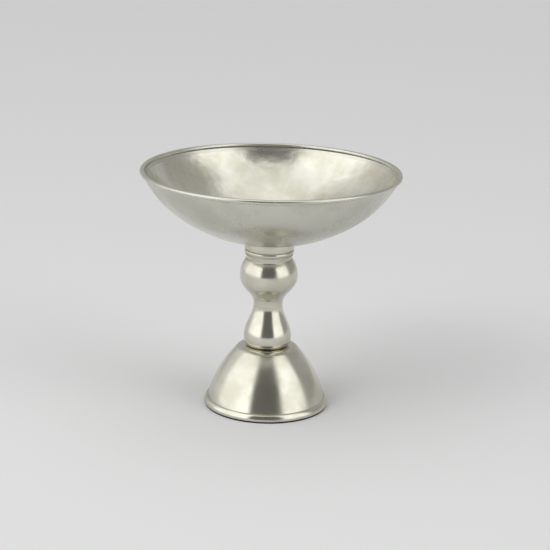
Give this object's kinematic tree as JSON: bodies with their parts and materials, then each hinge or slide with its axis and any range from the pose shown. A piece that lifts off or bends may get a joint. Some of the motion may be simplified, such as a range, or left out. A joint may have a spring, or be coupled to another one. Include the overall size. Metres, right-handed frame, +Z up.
{
  "type": "footed flower bowl",
  "caption": "Round shallow flower bowl on a turned stem with a ball knop, over a domed hollow foot, in satin and polished nickel-plated metal.",
  "frame": {"origin": "centre of the felt ring's underside, on the surface that the bowl stands on", "axes": "+Z up along the axis of revolution; the part is the same all round it"},
  "size_m": [0.25, 0.25, 0.2351],
  "materials": {
    "satin_nickel": "nickel plate on brass, satin and lightly planished",
    "polished_nickel": "nickel plate on brass, polished",
    "bare_brass": "turned and brazed",
    "zinc_steel": "zinc plated",
    "felt": "pressed wool felt"
  },
  "bodies": {
    "root": {"bowl_shell": "satin_nickel", "rim_wire": "satin_nickel", "bowl_boss": "bare_brass", "neck_collar": "polished_nickel", "bead_ring": "polished_nickel", "stem_knop": "polished_nickel", "stem_baluster": "polished_nickel", "foot_dome": "polished_nickel", "foot_band": "polished_nickel", "felt_ring": "felt", "tie_rod": "zinc_steel", "wide_washer": "zinc_steel", "split_washer": "zinc_steel", "hex_nut": "zinc_steel"}
  },
  "joints": []
}
